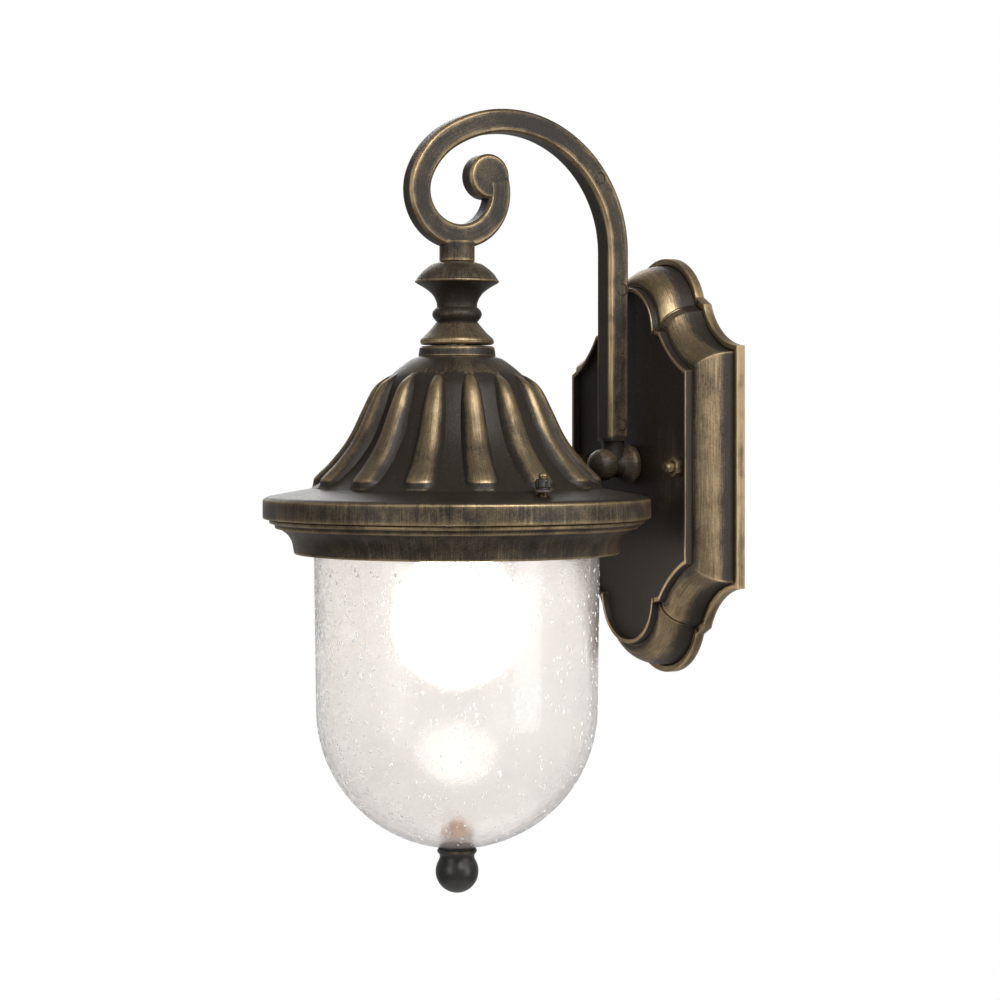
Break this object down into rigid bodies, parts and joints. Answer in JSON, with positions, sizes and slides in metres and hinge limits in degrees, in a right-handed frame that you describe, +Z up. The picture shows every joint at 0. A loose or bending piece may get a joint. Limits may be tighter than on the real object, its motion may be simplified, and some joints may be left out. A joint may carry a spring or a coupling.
{
  "type": "outdoor wall lantern",
  "caption": "Cast wall lantern: mitred backplate, scroll arm, turned knob, fluted canopy and a seeded glass shade with a ball finial.",
  "frame": {"origin": "middle of the mounting bar's back face, on the wall, level with the two wall studs", "axes": "+Z up, +Y into the wall, +X to the right as seen from in front of the wall"},
  "size_m": [0.1772, 0.2073, 0.3606],
  "materials": {
    "antique_bronze": "black powder coat over cast aluminium, rubbed back to antique gold on edges and crests",
    "dark_bronze": "black powder coat over cast aluminium, satin",
    "zinc_steel": "bright zinc plate",
    "brass_hardware": "plain turned brass",
    "ground_green": "green dyed zinc plate",
    "seeded_glass": "clear blown glass full of small seeds and bubbles",
    "lamp_glass": "frosted lamp envelope, lit",
    "stem_glass": "clear glass mount",
    "copper_plate": "copper plated, satin",
    "rubber_black": "matt moulded rubber",
    "porcelain": "white glaze",
    "lead_sleeve": "braided glass-fibre sleeve"
  },
  "bodies": {
    "wall_frame": {"mounting_bar": "zinc_steel", "ground_screw": "ground_green", "backplate": "antique_bronze", "mounting_stud_left": "brass_hardware", "mounting_stud_right": "brass_hardware", "foot_nipple": "zinc_steel", "foot_washer": "zinc_steel", "foot_locknut": "zinc_steel", "scroll_arm": "antique_bronze", "arm_cover": "antique_bronze", "supply_lead": "lead_sleeve", "turned_knob": "antique_bronze", "canopy": "antique_bronze", "stem_nipple": "zinc_steel", "canopy_washer": "zinc_steel", "canopy_locknut": "zinc_steel", "socket_nut_upper": "brass_hardware", "socket_cup": "zinc_steel", "socket_nut_lower": "brass_hardware", "socket_body": "porcelain", "screw_shell": "brass_hardware", "centre_contact": "brass_hardware"},
    "wall_nut_left": {"mounting_nut_left": "antique_bronze"},
    "wall_nut_right": {"mounting_nut_right": "antique_bronze"},
    "lamp": {"lamp_cap": "zinc_steel", "lamp_envelope": "lamp_glass", "lamp_stem": "stem_glass"},
    "shade_assembly": {"glass_holder": "antique_bronze", "glass_gasket": "rubber_black", "glass_shade": "seeded_glass", "holder_stud_left": "brass_hardware", "holder_stud_right": "brass_hardware", "shade_washer": "rubber_black", "coupling_cup": "copper_plate", "coupling_nut": "copper_plate", "finial_stud": "copper_plate"},
    "finial_body": {"finial": "dark_bronze"},
    "holder_nut_left": {"knurled_nut_left": "dark_bronze"},
    "holder_nut_right": {"knurled_nut_right": "dark_bronze"}
  },
  "joints": [
    {"name": "wall_nut_left_turn", "type": "hinge", "parent": "wall_frame", "child": "wall_nut_left", "pos_m": [-0.041, -0.0255, 0], "axis": [0, -1, 0], "continuous": true},
    {"name": "wall_nut_right_turn", "type": "hinge", "parent": "wall_frame", "child": "wall_nut_right", "pos_m": [0.041, -0.0255, 0], "axis": [0, -1, 0], "continuous": true},
    {"name": "lamp_turn", "type": "hinge", "parent": "wall_frame", "child": "lamp", "pos_m": [0, -0.1185, -0.05], "axis": [0, 0, 1], "continuous": true},
    {"name": "shade_drop", "type": "slide", "parent": "wall_frame", "child": "shade_assembly", "axis": [0, 0, -1], "range_m": [0, 0.12]},
    {"name": "finial_turn", "type": "hinge", "parent": "shade_assembly", "child": "finial_body", "pos_m": [0, -0.1185, -0.185], "axis": [0, 0, 1], "continuous": true},
    {"name": "holder_nut_left_turn", "type": "hinge", "parent": "wall_frame", "child": "holder_nut_left", "pos_m": [-0.0765, -0.1185, -0.007], "axis": [0, 0, 1], "continuous": true},
    {"name": "holder_nut_right_turn", "type": "hinge", "parent": "wall_frame", "child": "holder_nut_right", "pos_m": [0.0765, -0.1185, -0.007], "axis": [0, 0, 1], "continuous": true}
  ]
}
